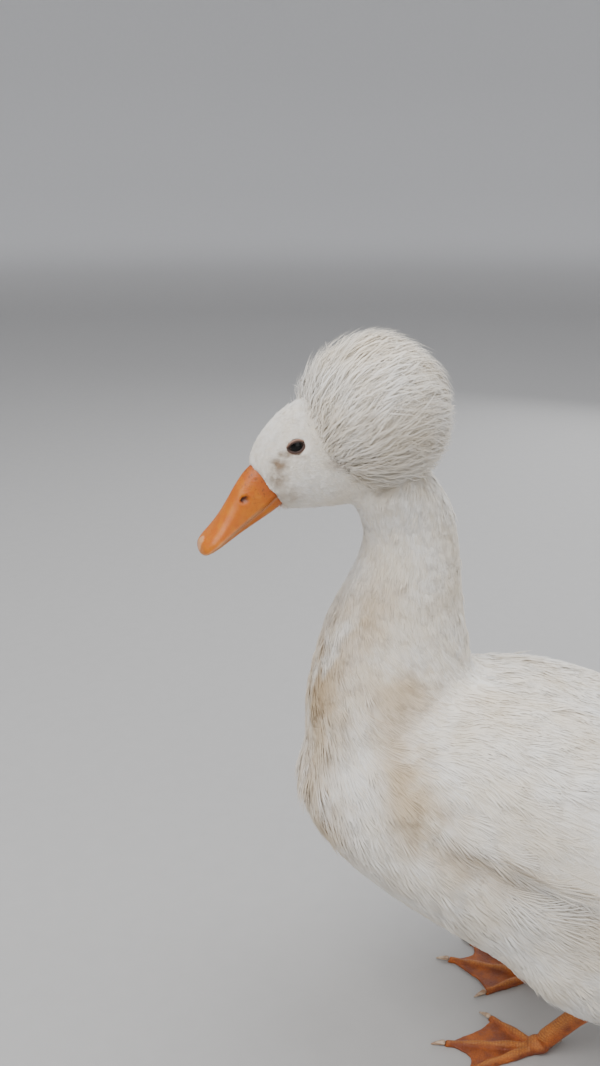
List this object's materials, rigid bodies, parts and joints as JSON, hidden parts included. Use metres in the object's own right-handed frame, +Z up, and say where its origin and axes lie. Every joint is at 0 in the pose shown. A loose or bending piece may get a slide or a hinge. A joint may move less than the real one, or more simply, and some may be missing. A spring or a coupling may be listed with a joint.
{
  "type": "white crested duck",
  "caption": "Still life-size model of a white duck with a round feather crest, standing with its head turned to its left.",
  "frame": {"origin": "middle of the bounding box, on the floor under the duck", "axes": "-Y is where the breast points, +X is the duck's left side, +Z is up"},
  "size_m": [0.2066, 0.4792, 0.4638],
  "materials": {
    "plumage": "soft white feathers with faint cream stains",
    "bill": "orange horn with a soft sheen",
    "eye": "wet dark brown",
    "leg": "orange scaled skin",
    "claw": "pale horn"
  },
  "bodies": {
    "root": {"torso": "plumage", "neck": "plumage", "head": "plumage", "crest": "plumage", "wing_left": "plumage", "wing_right": "plumage", "tail": "plumage", "thigh_left": "plumage", "thigh_right": "plumage", "bill_upper": "bill", "bill_lower": "bill", "eye_left": "eye", "eye_right": "eye", "shank_left": "leg", "shank_right": "leg", "foot_left": "leg", "foot_right": "leg", "claw_inner_left": "claw", "claw_middle_left": "claw", "claw_outer_left": "claw", "claw_hind_left": "claw", "claw_inner_right": "claw", "claw_middle_right": "claw", "claw_outer_right": "claw", "claw_hind_right": "claw"}
  },
  "joints": []
}
